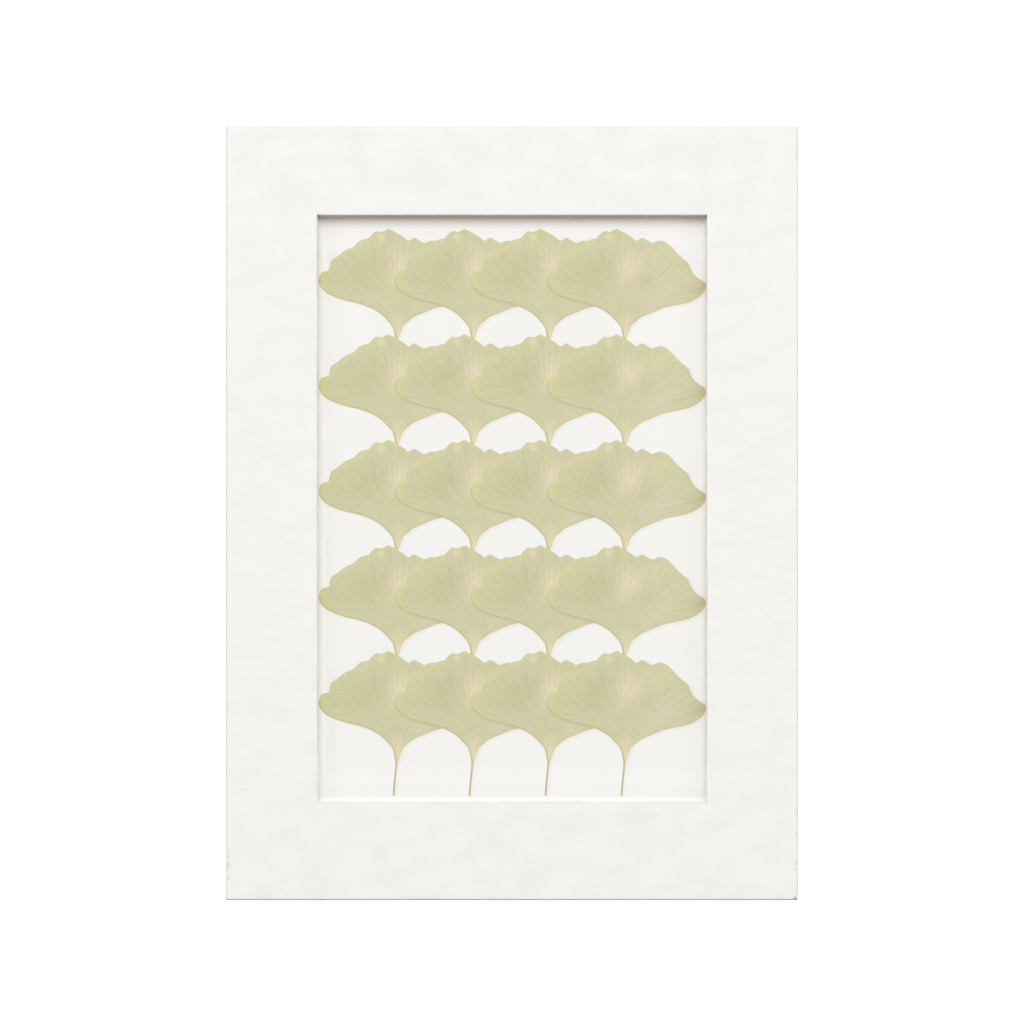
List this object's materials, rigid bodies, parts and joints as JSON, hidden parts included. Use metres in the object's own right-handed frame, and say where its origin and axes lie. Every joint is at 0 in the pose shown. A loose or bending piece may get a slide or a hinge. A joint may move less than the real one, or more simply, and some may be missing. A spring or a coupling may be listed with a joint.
{
  "type": "window frame with ginkgo leaf print",
  "caption": "Flat paper-covered window frame holding a print of overlapping ginkgo leaves, with a wrapped back board behind it.",
  "frame": {"origin": "on the back face, at the middle of the frame's outline", "axes": "+Z out of the frame's face, +Y towards the top of the picture; the frame lies on its back"},
  "size_m": [0.1486, 0.2014, 0.0078],
  "materials": {
    "cover_paper": "matte",
    "print_paper": "matte",
    "grey_board": "matte",
    "white_card": "matte",
    "tape": "satin"
  },
  "bodies": {
    "root": {"back_cover": "cover_paper", "front_cover": "cover_paper", "window_patch_top_left": "cover_paper", "window_patch_top_right": "cover_paper", "window_patch_bottom_left": "cover_paper", "window_patch_bottom_right": "cover_paper", "print": "print_paper", "back_board": "grey_board", "front_board": "grey_board", "mount_card": "white_card", "back_lining": "white_card", "spacer_top": "white_card", "spacer_bottom": "white_card", "spacer_left": "white_card", "spacer_right": "white_card", "joining_tape_top": "tape", "joining_tape_bottom": "tape", "joining_tape_left": "tape", "joining_tape_right": "tape", "hinge_tab_left": "tape", "hinge_tab_right": "tape", "hinge_strip_left": "tape", "hinge_strip_right": "tape"}
  },
  "joints": []
}
